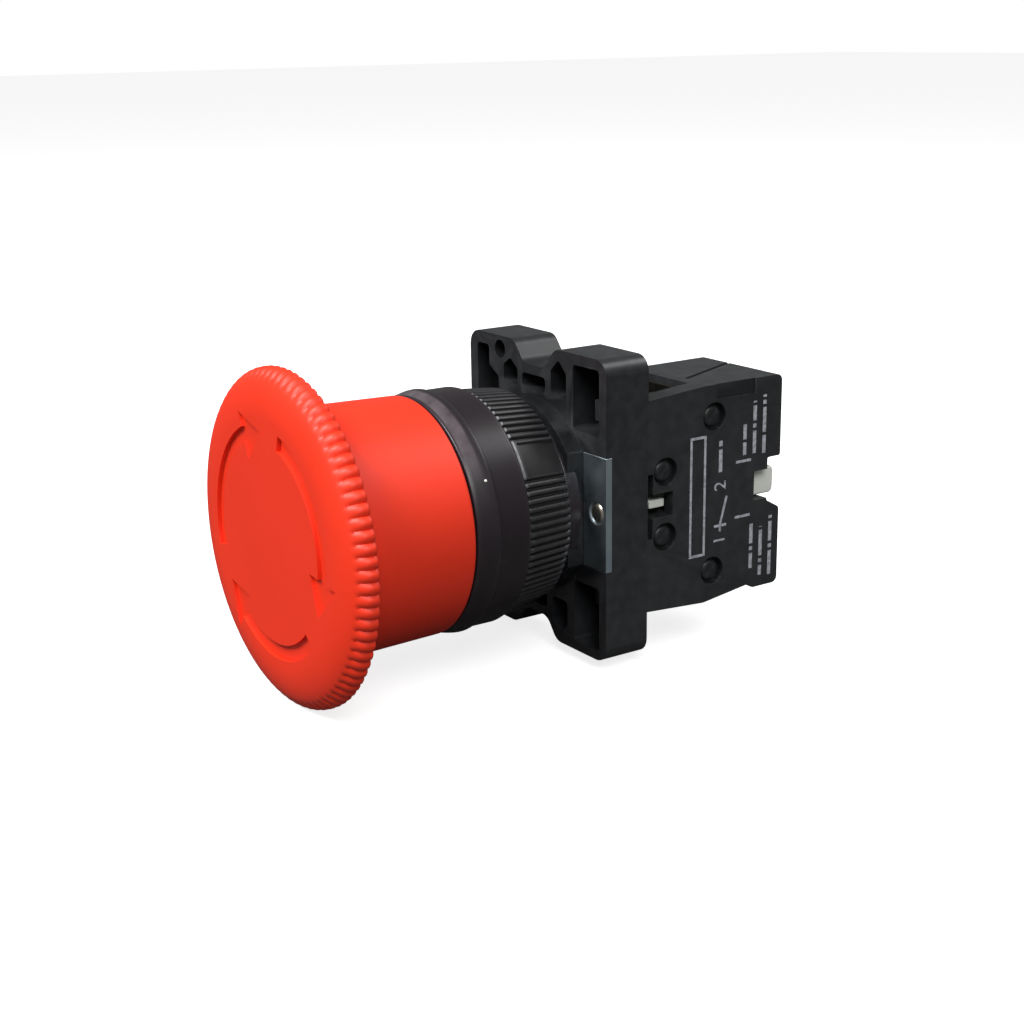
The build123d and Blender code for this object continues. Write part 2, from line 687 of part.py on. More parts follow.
def block_hooks():
    """The two latch hooks that hold the block in the base's slots."""
    hooks = None
    for up in (1, -1):
        z0, z1 = sorted((up * HOOK_Z[0], up * HOOK_Z[1]))
        n0, n1 = sorted((up * HOOK_Z[1], up * (HOOK_Z[1] + 0.7)))
        hook = slab(*HOOK_X, 13.4, WELL_Y[0], z0, z1)
        hook += slab(*HOOK_X, 13.4, 14.5, n0, n1)
        hooks = hook if hooks is None else hooks + hook
    return hooks


save(head_cap(), "head_cap")
save(cap_hub(), "cap_hub")
save(latch_pins(), "latch_pins")
save(push_rod(), "push_rod")
save(rod_clip(), "rod_clip")
save(push_disc(), "push_disc")
save(torsion_spring(), "torsion_spring")
save(return_spring(), "return_spring")
save(operator_body(), "operator_body")
save(cam_sleeve(), "cam_sleeve")
save(bezel_ring(), "bezel_ring")
save(panel_gasket(), "panel_gasket")
save(ring_nut(), "ring_nut")
save(mounting_base(), "mounting_base")
save(clamp_plate(1), "clamp_plate_right")
save(clamp_plate(-1), "clamp_plate_left")
save(clamp_screws(), "clamp_screws")
save(block_housing(), "block_housing")
save(side_cover(), "side_cover")
save(shell_pegs(), "shell_pegs")
save(block_hooks(), "block_hooks")
save(contact_plunger(), "contact_plunger")
save(contact_bridge(), "contact_bridge")
save(contact_tips(BRIDGE_Y - TIP_THICK, BRIDGE_Y), "bridge_tips")
save(bridge_spring(), "bridge_spring")
save(plunger_springs(), "plunger_springs")
save(fixed_terminal(1), "terminal_upper")
save(fixed_terminal(-1), "terminal_lower")
fixed_tip_y = TERMINAL_Y + TERMINAL_THICK
save(contact_tips(fixed_tip_y, fixed_tip_y + TIP_THICK), "fixed_tips")
save(wire_clamps(), "wire_clamps")
save(terminal_screws(), "terminal_screws")
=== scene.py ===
from math import atan2, cos, degrees, hypot, pi, radians, sin, tan

import bmesh
import bpy
from mathutils import Matrix, Vector


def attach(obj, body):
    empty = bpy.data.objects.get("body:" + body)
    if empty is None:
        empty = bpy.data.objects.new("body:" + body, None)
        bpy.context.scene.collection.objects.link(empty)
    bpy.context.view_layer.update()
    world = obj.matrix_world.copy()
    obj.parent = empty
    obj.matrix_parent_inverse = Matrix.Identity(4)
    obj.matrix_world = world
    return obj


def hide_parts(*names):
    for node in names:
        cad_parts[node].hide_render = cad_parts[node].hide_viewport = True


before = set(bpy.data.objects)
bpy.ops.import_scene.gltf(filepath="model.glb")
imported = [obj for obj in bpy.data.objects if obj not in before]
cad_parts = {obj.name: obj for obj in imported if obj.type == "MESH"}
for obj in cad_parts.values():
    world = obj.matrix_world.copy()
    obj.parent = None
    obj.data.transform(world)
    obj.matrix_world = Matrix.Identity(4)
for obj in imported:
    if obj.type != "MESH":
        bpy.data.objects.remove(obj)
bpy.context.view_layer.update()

# Lengths below are millimetres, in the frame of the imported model: the button's axis is Y,
# the mushroom faces -Y, +Z is up and the contact block is on the +X side.
MM = 0.001

# head
HEAD_R = 20.0
FACE_Y = -26.38
RIM_BACK_Y = -23.0
SKIRT_FRONT_R = 14.9
SKIRT_BACK_R = 14.5
SKIRT_BACK_Y = -7.5
SKIRT_BORE_R = 12.9
HEAD_FLOOR_Y = -24.0
FLUTES = 86
COLUMNS_PER_FLUTE = 6
FLUTE_DEPTHS = (0.36, 0.15, 0.02, 0.0, 0.02, 0.15)
ARROW_R = 12.85
ARROW_HALF_W = 0.95
ARROW_HEAD_HALF_W = 2.9
ARROW_SPAN = 80.0
ARROW_HEAD_SPAN = 20.0
ARROW_NECKS = (-6.0, 114.0, 234.0)
ARROW_DEPTH = 0.48
# the arrows' cutters start this far in front of the face
CUTTER_LEAD = 0.5

# ring nut
NUT_COLUMNS = 540
NUT_RIB_COLUMNS = 6
NUT_QUARTER = 135
NUT_PAD_COLUMNS = 27
NUT_PAD_START = 25.5
RIB_DEPTHS = (0.0, 0.0, 0.08, 0.42, 0.42, 0.08)
PAD_DEPTH = 0.32

# bezel
BEZEL_FRONT_Y = -7.2
BEZEL_R = 14.6
BEZEL_BORE_R = 12.85
GATE_MARK_ANGLE = 27.2

# mounting base
BASE_FRONT_Y = 10.7
BASE_BACK_Y = 17.0
BASE_HALF_W = 14.6
BASE_HALF_H = 18.7
VALLEY_Z = 16.0
BOSS_R = 12.2
BOSS_FRONT_Y = 8.4
NECK_BORE_R = 11.05
NECK_BORE_BACK_Y = 9.7
PLAIN_BORE_R = 10.0
PLAIN_BORE_BACK_Y = 12.5
CENTRE_HOLE_R = 9.6
POCKET_DEPTH = 4.6
EJECTOR_HOLE_R = 1.15
EJECTOR_HOLE_X = -7.7
EJECTOR_HOLE_Z = 17.0

# clamp plates and screws
PLATE_X = (10.0, 14.6)
PLATE_HALF_H = 7.1
PLATE_THICK = 0.9
PLATE_FIT = 0.05
SCREW_X = 12.6
SCREW_R = 1.2
SCREW_HOLE_R = 1.35
SCREW_HEAD_R = 1.5
SCREW_SINK_R = 1.65
SCREW_SINK_Y = 12.1
SCREW_THREAD_YS = (10.95, 11.3, 11.65)

# contact block
BLOCK_X0 = 0.2
COVER_X0 = 12.9
BLOCK_X1 = 14.6
BLOCK_BACK_Y = 38.3
BLOCK_HALF_H = 13.9
SLIDEWAY_HALF_H = 1.55
TAIL_WAY_Y = 29.8
TAIL_WAY_HALF_H = 1.9
TERMINAL_AT = (7.5, 9.6)
PEGS = ((27.3, 9.9), (27.3, -9.9), (19.7, 4.1), (19.7, -4.1))
PEG_R = 1.35
PEG_RECESS_R = 1.8

# slider
SLIDER_X = (4.0, 11.0)
SLIDER_HALF_H = 1.45
TAIL_X = (8.0, 13.3)
TAIL_Y = (34.3, 38.9)
TAIL_HALF_H = 1.75
TAIL_CHAMFER = 0.7

# printed marks
PRINT_LINE = 0.34
PRINT_BAR = 0.55
PRINT_GAP = 0.4

# cells per metre of the mouldings' surface grain
GRAIN_SCALE = 6000.0

# just under the head's rim, the lowest point
FLOOR_Z = -20.2


# ------------------------------------------------------------------ modelling tools

def deselect():
    bpy.ops.object.select_all(action="DESELECT")


def take(name):
    """Names the primitive just added and applies its place to its mesh."""
    piece = bpy.context.object
    piece.name = name
    piece.data.name = name
    bpy.ops.object.transform_apply(location=True, rotation=True, scale=True)
    return piece


def activate(piece):
    deselect()
    piece.select_set(True)
    bpy.context.view_layer.objects.active = piece


def edit(piece):
    activate(piece)
    bpy.ops.object.mode_set(mode="EDIT")
    bpy.ops.mesh.select_all(action="SELECT")


def done():
    bpy.ops.object.mode_set(mode="OBJECT")


def pick(piece, kind, test):
    """In edit mode, selects the vertices, edges or faces whose middle, in mm, passes the test."""
    bpy.ops.mesh.select_mode(type=kind)
    bpy.ops.mesh.select_all(action="DESELECT")
    mesh = bmesh.from_edit_mesh(piece.data)
    if kind == "VERT":
        for v in mesh.verts:
            v.select_set(bool(test(v.co / MM)))
    elif kind == "EDGE":
        for e in mesh.edges:
            middle = (e.verts[0].co + e.verts[1].co) / 2
            e.select_set(bool(test(middle / MM)))
    else:
        for f in mesh.faces:
            f.select_set(bool(test(f.calc_center_median() / MM)))
    mesh.select_flush_mode()
    bmesh.update_edit_mesh(piece.data)


def outward(piece):
    edit(piece)
    bpy.ops.mesh.normals_make_consistent(inside=False)
    done()


def turned(name, profile, count, closed=False):
    """A turned shape about Y: a circle extruded and resized through (radius, y) points."""
    deselect()
    r, y = profile[0]
    bpy.ops.mesh.primitive_circle_add(
        vertices=count, radius=r * MM, location=(0, y * MM, 0), rotation=(pi / 2, 0, 0)
    )
    piece = take(name)
    edit(piece)
    for (r0, y0), (r1, y1) in zip(profile, profile[1:]):
        bpy.ops.mesh.extrude_edges_move(TRANSFORM_OT_translate={"value": (0, (y1 - y0) * MM, 0)})
        if r1 != r0:
            k = r1 / r0
            bpy.ops.transform.resize(value=(k, 1, k), center_override=(0, y1 * MM, 0))
    if closed:
        bpy.ops.mesh.select_all(action="SELECT")
        bpy.ops.mesh.remove_doubles(threshold=0.0005 * MM)
    else:
        bpy.ops.mesh.edge_face_add()
        first_r, first_y = profile[0]
        pick(piece, "VERT", lambda p: abs(p.y - first_y) < 1e-4 and hypot(p.x, p.z) < first_r + 1e-3)
        bpy.ops.mesh.edge_face_add()
    bpy.ops.mesh.select_all(action="SELECT")
    bpy.ops.mesh.normals_make_consistent(inside=False)
    done()
    return piece


def arc(centre, radius_r, radius_y, start, stop, steps):
    """Profile points on a quarter or part of an ellipse, angles in degrees from +radius to +y."""
    points = []
    for i in range(steps + 1):
        a = radians(start + (stop - start) * i / steps)
        points.append((centre[0] + radius_r * cos(a), centre[1] + radius_y * sin(a)))
    return points


def brick(name, lo, hi):
    """A box between two corners."""
    deselect()
    middle = [(a + b) / 2 * MM for a, b in zip(lo, hi)]
    size = [(b - a) * MM for a, b in zip(lo, hi)]
    bpy.ops.mesh.primitive_cube_add(size=1, location=middle, scale=size)
    return take(name)


def drum(name, radius, axis, a0, a1, at, count=48):
    """A round bar along X or Y between a0 and a1, centred on the other two coordinates."""
    deselect()
    middle = (a0 + a1) / 2
    if axis == "X":
        place = (middle * MM, at[0] * MM, at[1] * MM)
        turn = (0, pi / 2, 0)
    else:
        place = (at[0] * MM, middle * MM, at[1] * MM)
        turn = (pi / 2, 0, 0)
    bpy.ops.mesh.primitive_cylinder_add(
        vertices=count, radius=radius * MM, depth=(a1 - a0) * MM, location=place, rotation=turn
    )
    return take(name)


def rounded(points, radii, steps=5):
    """An outline with each corner replaced by an arc of its radius."""
    outline = []
    count = len(points)
    for i, corner in enumerate(points):
        r = radii[i] if isinstance(radii, (list, tuple)) else radii
        p = Vector(corner)
        a = (Vector(points[i - 1]) - p).normalized()
        b = (Vector(points[(i + 1) % count]) - p).normalized()
        half = a.angle(b) / 2
        if r < 0.01 or abs(half - pi / 2) < 0.01:
            outline.append(corner)
            continue
        centre = p + (a + b).normalized() * (r / sin(half))
        first = p + a * (r / tan(half)) - centre
        last = p + b * (r / tan(half)) - centre
        turn = atan2(first.x * last.y - first.y * last.x, first.dot(last))
        for k in range(steps + 1):
            t = turn * k / steps
            outline.append((
                centre.x + first.x * cos(t) - first.y * sin(t),
                centre.y + first.x * sin(t) + first.y * cos(t),
            ))
    return outline


def prism(name, outline, axis, a0, a1):
    """A plate with an (x, z) outline along Y, or a (y, z) outline along X."""
    deselect()
    bpy.ops.mesh.primitive_circle_add(vertices=len(outline), radius=MM, fill_type="NGON")
    piece = take(name)
    for vertex, (u, v) in zip(piece.data.vertices, outline):
        vertex.co = Vector((u, a0, v) if axis == "Y" else (a0, u, v)) * MM
    reach = (a1 - a0) * MM
    edit(piece)
    step = (0, reach, 0) if axis == "Y" else (reach, 0, 0)
    bpy.ops.mesh.extrude_region_move(TRANSFORM_OT_translate={"value": step})
    bpy.ops.mesh.select_all(action="SELECT")
    bpy.ops.mesh.normals_make_consistent(inside=False)
    done()
    return piece


def combine(piece, tool, operation):
    activate(piece)
    modifier = piece.modifiers.new(operation.lower(), "BOOLEAN")
    modifier.operation = operation
    modifier.solver = "EXACT"
    modifier.object = tool
    bpy.ops.object.modifier_apply(modifier=modifier.name)
    bpy.data.objects.remove(tool)


def carve(piece, *tools):
    for tool in tools:
        combine(piece, tool, "DIFFERENCE")


def weld(piece, *tools):
    for tool in tools:
        combine(piece, tool, "UNION")


def soften(piece, width, segments=2, angle=35.0, smooth=48.0):
    """Rounds the sharp edges and shades the faces smoothly between them."""
    edit(piece)
    bpy.ops.mesh.remove_doubles(threshold=0.002 * MM)
    bpy.ops.mesh.dissolve_limited(angle_limit=radians(0.6))
    done()
    bevel = piece.modifiers.new("rounding", "BEVEL")
    bevel.width = width * MM
    bevel.segments = segments
    bevel.limit_method = "ANGLE"
    bevel.angle_limit = radians(angle)
    bevel.harden_normals = False
    bpy.ops.object.modifier_apply(modifier=bevel.name)
    shade(piece, smooth)


def shade(piece, angle=40.0):
    activate(piece)
    bpy.ops.object.shade_smooth_by_angle(angle=radians(angle))
    weights = piece.modifiers.new("weights", "WEIGHTED_NORMAL")
    weights.keep_sharp = True
    bpy.ops.object.modifier_apply(modifier=weights.name)


def copy_of(piece, name, move=(0, 0, 0), flip=(1, 1, 1)):
    """A copy with its own mesh, moved or mirrored in its mesh."""
    twin = piece.copy()
    twin.data = piece.data.copy()
    twin.name = name
    twin.data.name = name
    bpy.context.scene.collection.objects.link(twin)
    place = Matrix.Translation(Vector(move) * MM) @ Matrix.Diagonal((*flip, 1))
    twin.data.transform(place)
    if flip[0] * flip[1] * flip[2] < 0:
        outward(twin)
    return twin


def join(name, *parts):
    activate(parts[0])
    for part in parts[1:]:
        part.select_set(True)
    bpy.ops.object.join()
    parts[0].name = name
    parts[0].data.name = name
    return parts[0]


# ------------------------------------------------------------------ materials

def add(nodes, kind, inputs=(), **settings):
    """A shader node with its settings, then the values of its inputs."""
    node = nodes.new("ShaderNode" + kind)
    for key, value in settings.items():
        setattr(node, key, value)
    for key, value in dict(inputs).items():
        node.inputs[key].default_value = value
    return node


def wire(links, *joins):
    """Links given as (node, output, node, input)."""
    for source, output, target, entry in joins:
        links.new(source.outputs[output], target.inputs[entry])


def product(nodes, links, first, second):
    node = add(nodes, "Math", operation="MULTIPLY")
    links.new(first, node.inputs[0])
    links.new(second, node.inputs[1])
    return node.outputs[0]


def ramp(nodes, links, value, start, stop, top=1.0):
    """0 to top while the value goes from start to stop."""
    node = add(nodes, "MapRange", {"From Min": start, "From Max": stop, "To Max": top})
    links.new(value, node.inputs["Value"])
    return node.outputs["Result"]


def socket_group(name, inputs, outputs):
    group = bpy.data.node_groups.new(name, "ShaderNodeTree")
    for label, kind, value in inputs:
        socket = group.interface.new_socket(name=label, in_out="INPUT", socket_type=kind)
        socket.default_value = value
    for label in outputs:
        group.interface.new_socket(name=label, in_out="OUTPUT", socket_type="NodeSocketFloat")
    enter = group.nodes.new("NodeGroupInput")
    leave = group.nodes.new("NodeGroupOutput")
    return group, enter, leave


def moulded_grain():
    """The fine spark-eroded texture of a moulding: a height and a slow gloss drift."""
    inputs = [
        ("Vector", "NodeSocketVector", (0, 0, 0)),
        ("Grain Scale", "NodeSocketFloat", GRAIN_SCALE),
        ("Drift Scale", "NodeSocketFloat", 90.0),
    ]
    group, enter, leave = socket_group("moulded grain", inputs, ["Height", "Drift"])
    fine = add(group.nodes, "TexNoise", {"Detail": 3})
    slow = add(group.nodes, "TexNoise", {"Detail": 4})
    wire(
        group.links,
        (enter, "Vector", fine, "Vector"),
        (enter, "Grain Scale", fine, "Scale"),
        (enter, "Vector", slow, "Vector"),
        (enter, "Drift Scale", slow, "Scale"),
        (fine, "Fac", leave, "Height"),
        (slow, "Fac", leave, "Drift"),
    )
    return group


def rubbed_edges():
    """A mask of the outer edges, broken up as real wear is."""
    inputs = [("Vector", "NodeSocketVector", (0, 0, 0)), ("Reach", "NodeSocketFloat", 0.06)]
    group, enter, leave = socket_group("rubbed edges", inputs, ["Mask"])
    geometry = add(group.nodes, "NewGeometry")
    rise = add(group.nodes, "Math", {1: 0.5}, operation="SUBTRACT")
    span = add(group.nodes, "Math", operation="DIVIDE", use_clamp=True)
    breakup = add(group.nodes, "TexNoise", {"Scale": 700})
    mix = add(group.nodes, "Math", operation="MULTIPLY")
    wire(
        group.links,
        (geometry, "Pointiness", rise, 0),
        (rise, 0, span, 0),
        (enter, "Reach", span, 1),
        (enter, "Vector", breakup, "Vector"),
        (span, 0, mix, 0),
        (breakup, "Fac", mix, 1),
        (mix, 0, leave, "Mask"),
    )
    return group


GRAIN = moulded_grain()
EDGES = rubbed_edges()


def new_material(name):
    material = bpy.data.materials.new(name)
    material.use_nodes = True
    nodes = material.node_tree.nodes
    shader = nodes["Principled BSDF"]
    return material, nodes, material.node_tree.links, shader, add(nodes, "TexCoord")


def plastic(name, colour, edge_colour, roughness, grain=0.004, drift=0.12):
    """A moulded plastic: base colour drifting a little, paler rubbed edges, fine grain."""
    material, nodes, links, shader, place = new_material(name)
    dark = [c * (1 - drift) for c in colour]
    light = [min(1.0, c * (1 + drift)) for c in colour]
    texture = add(nodes, "Group", {"Grain Scale": GRAIN_SCALE}, node_tree=GRAIN)
    edges = add(nodes, "Group", node_tree=EDGES)
    tone = add(nodes, "Mix", {"A": (*dark, 1), "B": (*light, 1)}, data_type="RGBA")
    rub = add(nodes, "Mix", {"B": (*edge_colour, 1)}, data_type="RGBA")
    gloss = add(nodes, "MapRange", {"To Min": roughness - 0.07, "To Max": roughness + 0.07})
    bump = add(nodes, "Bump", {"Strength": 0.6, "Distance": grain * MM})
    wire(
        links,
        (place, "Object", texture, "Vector"),
        (place, "Object", edges, "Vector"),
        (texture, "Drift", tone, "Factor"),
        (edges, "Mask", rub, "Factor"),
        (tone, "Result", rub, "A"),
        (rub, "Result", shader, "Base Color"),
        (texture, "Drift", gloss, "Value"),
        (gloss, "Result", shader, "Roughness"),
        (texture, "Height", bump, "Height"),
        (bump, "Normal", shader, "Normal"),
    )
    return material


def metal(name, colour, tint, roughness, brush=(900.0, 900.0, 60.0), grain=0.002):
    """A metal with a brushed or plated surface, and a slow tint like passivated zinc."""
    material, nodes, links, shader, place = new_material(name)
    shader.inputs["Metallic"].default_value = 1.0
    stretch = add(nodes, "Mapping", {"Scale": brush})
    lines = add(nodes, "TexNoise", {"Scale": 3.0, "Detail": 4})
    cloud = add(nodes, "TexNoise", {"Scale": 260.0})
    tone = add(nodes, "Mix", {"A": (*colour, 1), "B": (*tint, 1)}, data_type="RGBA")
    gloss = add(nodes, "MapRange", {"To Min": roughness - 0.08, "To Max": roughness + 0.12})
    bump = add(nodes, "Bump", {"Strength": 0.5, "Distance": grain * MM})
    wire(
        links,
        (place, "Object", stretch, "Vector"),
        (stretch, "Vector", lines, "Vector"),
        (place, "Object", cloud, "Vector"),
        (cloud, "Fac", tone, "Factor"),
        (tone, "Result", shader, "Base Color"),
        (lines, "Fac", gloss, "Value"),
        (gloss, "Result", shader, "Roughness"),
        (lines, "Fac", bump, "Height"),
        (bump, "Normal", shader, "Normal"),
    )
    return material


def placed(material, speckle_scale, speckle_detail):
    """A material's nodes and links, the parts of the object coordinates, and a noise on them."""
    nodes = material.node_tree.nodes
    links = material.node_tree.links
    place = add(nodes, "TexCoord")
    parts = add(nodes, "SeparateXYZ")
    speckle = add(nodes, "TexNoise", {"Scale": speckle_scale, "Detail": speckle_detail})
    wire(links, (place, "Object", parts, "Vector"), (place, "Object", speckle, "Vector"))
    return nodes, links, parts, speckle.outputs["Fac"]


def stain(material, colour, mask):
    """Mixes a second colour over the material's base colour, where the mask says."""
    nodes = material.node_tree.nodes
    links = material.node_tree.links
    shader = nodes["Principled BSDF"]
    base = shader.inputs["Base Color"].links[0].from_socket
    mix = add(nodes, "Mix", {"B": (*colour, 1)}, data_type="RGBA")
    links.new(mask, mix.inputs["Factor"])
    links.new(base, mix.inputs["A"])
    links.new(mix.outputs["Result"], shader.inputs["Base Color"])


def nut_plastic():
    """The nut's plastic, with painted glints on the tips of its ribs at the front edge, stronger
    towards the top.
    """
    material = plastic("ribbed nut plastic", (0.014, 0.014, 0.015), (0.05, 0.05, 0.055), 0.42)
    nodes, links, parts, speckle = placed(material, 1500, 2)
    flat = add(nodes, "CombineXYZ")
    length = add(nodes, "VectorMath", operation="LENGTH")
    wire(links, (parts, "X", flat, "X"), (parts, "Z", flat, "Z"), (flat, "Vector", length, 0))
    near_front = ramp(nodes, links, parts.outputs["Y"], 0.6 * MM, 0.45 * MM)
    outside = ramp(nodes, links, length.outputs["Value"], 14.02 * MM, 14.12 * MM)
    upper = ramp(nodes, links, parts.outputs["Z"], 3 * MM, 9 * MM, 0.8)
    edge = product(nodes, links, near_front, outside)
    spots = product(nodes, links, upper, speckle)
    # painted highlight: pale spots on the front tips of the ribs, growing towards the top where the
    # light falls
    stain(material, (0.5, 0.51, 0.53), product(nodes, links, edge, spots))
    return material


def bezel_plastic():
    """The bezel's plastic, with a painted highlight along the upper part of its flare."""
    material = plastic("bezel plastic", (0.012, 0.008, 0.011), (0.05, 0.043, 0.05), 0.36)
    nodes, links, parts, patches = placed(material, 500, 3)
    band = add(nodes, "ValToRGB")
    stops = band.color_ramp.elements
    stops[0].position = 0.0
    stops[0].color = (0, 0, 0, 1)
    stops[1].position = 0.15
    stops[1].color = (1, 1, 1, 1)
    stops.new(0.8).color = (0.8, 0.8, 0.8, 1)
    stops.new(1.0).color = (0, 0, 0, 1)
    links.new(ramp(nodes, links, parts.outputs["Y"], -7.0 * MM, -5.2 * MM), band.inputs["Fac"])
    height = ramp(nodes, links, parts.outputs["Z"], 6.6 * MM, 10.5 * MM)
    mask = product(nodes, links, band.outputs["Color"], height)
    # painted highlight: paler patches on the flare's upper part, standing in for the light from above
    stain(material, (0.17, 0.14, 0.155), product(nodes, links, mask, patches))
    return material


def print_ink():
    """White pad-printing ink, thin enough to show the black under it in places."""
    material, nodes, links, shader, place = new_material("white pad print")
    wear = add(nodes, "TexNoise", {"Scale": 2500, "Detail": 3})
    tone = add(nodes, "MapRange", {"From Min": 0.3, "From Max": 0.6})
    thin, full = (0.24, 0.25, 0.28, 1), (0.5, 0.51, 0.56, 1)
    ink = add(nodes, "Mix", {"A": thin, "B": full}, data_type="RGBA")
    wire(
        links,
        (place, "Object", wear, "Vector"),
        (wear, "Fac", tone, "Value"),
        (tone, "Result", ink, "Factor"),
        (ink, "Result", shader, "Base Color"),
    )
    shader.inputs["Roughness"].default_value = 0.55
    return material


HEAD_RED = (0.84, 0.032, 0.006)
PLATED = {"brush": (160.0, 160.0, 160.0), "grain": 0.001}

RED = plastic("red head plastic", HEAD_RED, HEAD_RED, 0.5, drift=0.05)
BEZEL = bezel_plastic()
BASE = plastic("base plastic", (0.007, 0.0078, 0.009), (0.035, 0.037, 0.04), 0.38)
BLOCK = plastic("block plastic", (0.009, 0.0105, 0.0115), (0.035, 0.038, 0.04), 0.45, grain=0.008)
WHITE = plastic("ivory slider plastic", (0.72, 0.75, 0.67), (0.8, 0.83, 0.77), 0.38, drift=0.06)
RUBBER = plastic("gasket rubber", (0.012, 0.012, 0.012), (0.03, 0.03, 0.03), 0.75, grain=0.01)
NUT = nut_plastic()
ZINC = metal("blue-white zinc plate", (0.42, 0.54, 0.62), (0.6, 0.68, 0.7), 0.36, **PLATED)
YELLOW_ZINC = metal("yellow-passivated zinc", (0.62, 0.55, 0.36), (0.5, 0.56, 0.6), 0.3, **PLATED)
DARK_STEEL = metal("dark steel", (0.06, 0.06, 0.055), (0.1, 0.095, 0.08), 0.4)
STEEL = metal("bright steel", (0.6, 0.6, 0.62), (0.7, 0.7, 0.7), 0.3)
BRASS = metal("stamped brass", (0.75, 0.55, 0.2), (0.85, 0.68, 0.35), 0.3)
SILVER = metal("satin silver", (0.85, 0.84, 0.8), (0.9, 0.9, 0.88), 0.3)
INK = print_ink()


def dress(piece, material, slot, body, *nodes):
    """Gives a piece its material and its body, and hides the CAD nodes that it stands for. The slot is
    not used.
    """
    piece.data.materials.clear()
    piece.data.materials.append(material)
    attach(piece, body)
    if nodes:
        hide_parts(*nodes)


def dress_node(node, material):
    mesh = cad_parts[node].data
    mesh.materials.clear()
    mesh.materials.append(material)


# ------------------------------------------------------------------ head

def head_profile():
    """From the middle of the face, over the rim, along the skirt and back up inside."""
    face = [(r, FACE_Y) for r in (1.0, 6.0, 11.0, 14.4)]
    over = arc((14.5, FACE_Y + 2.6), 5.5, 2.6, -90, 0, 14)
    rim = [(HEAD_R, -23.62), (HEAD_R, -23.45)]
    back = arc((HEAD_R - 0.4, RIM_BACK_Y - 0.4), 0.4, 0.4, 0, 90, 3)
    under = [(17.5, RIM_BACK_Y), (SKIRT_FRONT_R + 0.3, RIM_BACK_Y)]
    root = [(SKIRT_FRONT_R + 0.08, RIM_BACK_Y + 0.08), (SKIRT_FRONT_R, RIM_BACK_Y + 0.35)]
    skirt = [(14.78, -18.0), (14.65, -13.0), (SKIRT_BACK_R + 0.02, SKIRT_BACK_Y - 0.45)]
    end = arc((SKIRT_BACK_R - 0.3, SKIRT_BACK_Y - 0.3), 0.3, 0.3, 0, 90, 3)
    bore = [(SKIRT_BORE_R + 0.2, SKIRT_BACK_Y), (SKIRT_BORE_R, SKIRT_BACK_Y - 0.2)]
    floor = [(SKIRT_BORE_R, HEAD_FLOOR_Y), (8.0, HEAD_FLOOR_Y), (1.0, HEAD_FLOOR_Y)]
    return face + over + rim + back + under + root + skirt + end + bore + floor


def flute_rim(cap):
    """Pulls columns of the rim towards the axis, to leave rounded flutes between them."""
    columns = FLUTES * COLUMNS_PER_FLUTE
    step = 360.0 / columns
    edit(cap)
    for phase, depth in enumerate(FLUTE_DEPTHS):
        if depth == 0:
            continue

        def on_column(p):
            if not (-25.3 < p.y < RIM_BACK_Y + 0.02 and hypot(p.x, p.z) > 18.8):
                return False
            column = round(degrees(atan2(p.z, p.x)) / step) % columns
            return column % COLUMNS_PER_FLUTE == phase

        pick(cap, "VERT", on_column)
        k = 1 - depth / HEAD_R
        bpy.ops.transform.resize(value=(k, 1, k), center_override=(0, 0, 0))
    done()


def arrow_cutter(neck):
    """A curved arrow: a grid bent round the axis, widened at its head, and made solid."""
    tail_columns = 30
    deselect()
    bpy.ops.mesh.primitive_grid_add(x_subdivisions=tail_columns + 2, y_subdivisions=1, size=MM)
    arrow = take("arrow cutter")
    rows = sorted(arrow.data.vertices, key=lambda v: (round(v.co.x, 7), v.co.y))
    for i, vertex in enumerate(rows):
        column, side = divmod(i, 2)
        if column <= tail_columns:
            angle = neck + ARROW_SPAN * (1 - column / tail_columns)
            half = ARROW_HALF_W
        elif column == tail_columns + 1:
            angle = neck - 0.05
            half = ARROW_HEAD_HALF_W
        else:
            angle = neck - ARROW_HEAD_SPAN
            half = 0.06
        r = ARROW_R + (half if side else -half)
        a = radians(angle)
        vertex.co = Vector((r * cos(a), FACE_Y - CUTTER_LEAD, r * sin(a))) * MM
    edit(arrow)
    reach = (CUTTER_LEAD + ARROW_DEPTH) * MM
    bpy.ops.mesh.extrude_region_move(TRANSFORM_OT_translate={"value": (0, reach, 0)})
    bpy.ops.mesh.select_all(action="SELECT")
    bpy.ops.mesh.normals_make_consistent(inside=False)
    done()
    return arrow


def flatten_face(cap):
    """Merges the cut-up facets of the flat face."""
    edit(cap)
    bpy.ops.mesh.remove_doubles(threshold=0.001 * MM)
    pick(cap, "FACE", lambda p: p.y < FACE_Y + 0.001)
    bpy.ops.mesh.dissolve_limited(angle_limit=radians(0.1))
    done()


def make_head():
    cap = turned("mushroom_head", head_profile(), FLUTES * COLUMNS_PER_FLUTE)
    flute_rim(cap)
    for neck in ARROW_NECKS:
        carve(cap, arrow_cutter(neck))
    flatten_face(cap)
    shade(cap, 50)
    dress(cap, RED, "red_plastic", "head", "head_cap")


# ------------------------------------------------------------------ bezel and nut

def make_bezel():
    front = BEZEL_FRONT_Y
    profile = [(BEZEL_BORE_R, front + 0.3), (BEZEL_BORE_R + 0.2, front), (14.2, front)]
    profile += arc((14.2, front + 0.2), 0.2, 0.2, -90, -20, 3)
    profile += [(14.5, -6.6), (14.68, -5.9), (14.8, -5.35), (14.88, -4.9)]
    profile += arc((14.72, -4.6), 0.18, 0.22, 0, 90, 4)
    profile += [(BEZEL_R, -4.25), (BEZEL_R, -2.2), (BEZEL_R, -0.4)]
    profile += arc((14.3, -0.3), 0.3, 0.3, 0, 90, 3)
    profile += [(13.4, 0.0), (13.4, -0.95), (BEZEL_BORE_R, -0.95)]
    profile += [profile[0]]
    bezel = turned("front_bezel", profile, 256, closed=True)
    shade(bezel, 35)
    dress(bezel, BEZEL, "bezel_plastic", "root", "bezel_ring")


